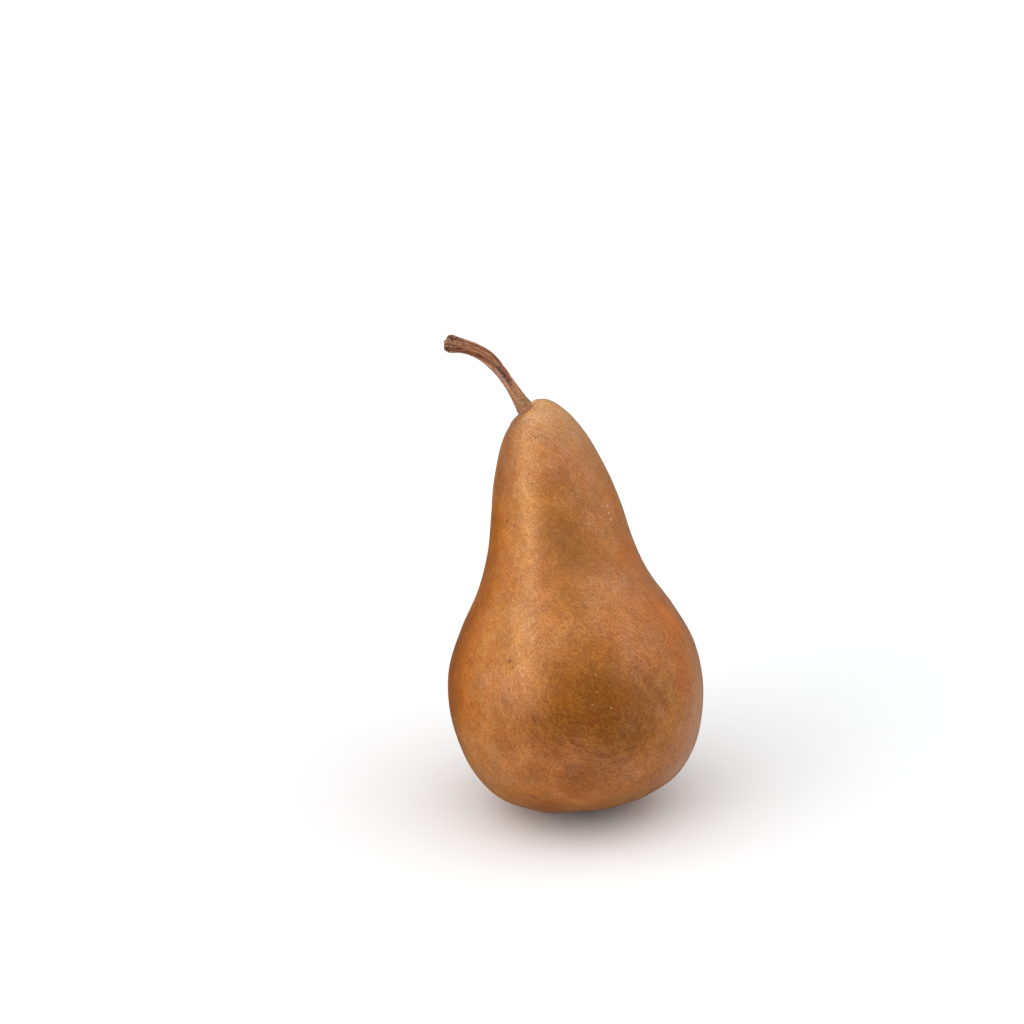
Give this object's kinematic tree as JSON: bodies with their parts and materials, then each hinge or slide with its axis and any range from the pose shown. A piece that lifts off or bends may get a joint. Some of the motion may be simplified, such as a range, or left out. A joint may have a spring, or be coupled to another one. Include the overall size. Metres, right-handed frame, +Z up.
{
  "type": "pear",
  "caption": "Whole russet pear with a bent woody stem and a dried calyx, leaning back on a small flat spot of its base.",
  "frame": {"origin": "the middle of the flat spot on the base that the pear rests on, on the surface it rests on", "axes": "+Z up, with the neck leaning 20 degrees towards +Y and 7 degrees towards -X, and the stem bent towards -X; the side that faces -Y is the front"},
  "size_m": [0.0742, 0.0764, 0.1298],
  "materials": {
    "russet_skin": "satin russet, fine grained, with pale pores",
    "stem_wood": "rough, ridged bark",
    "dried_calyx": "dry and matt"
  },
  "bodies": {
    "root": {"fruit": "russet_skin", "stem": "stem_wood", "calyx": "dried_calyx"}
  },
  "joints": []
}
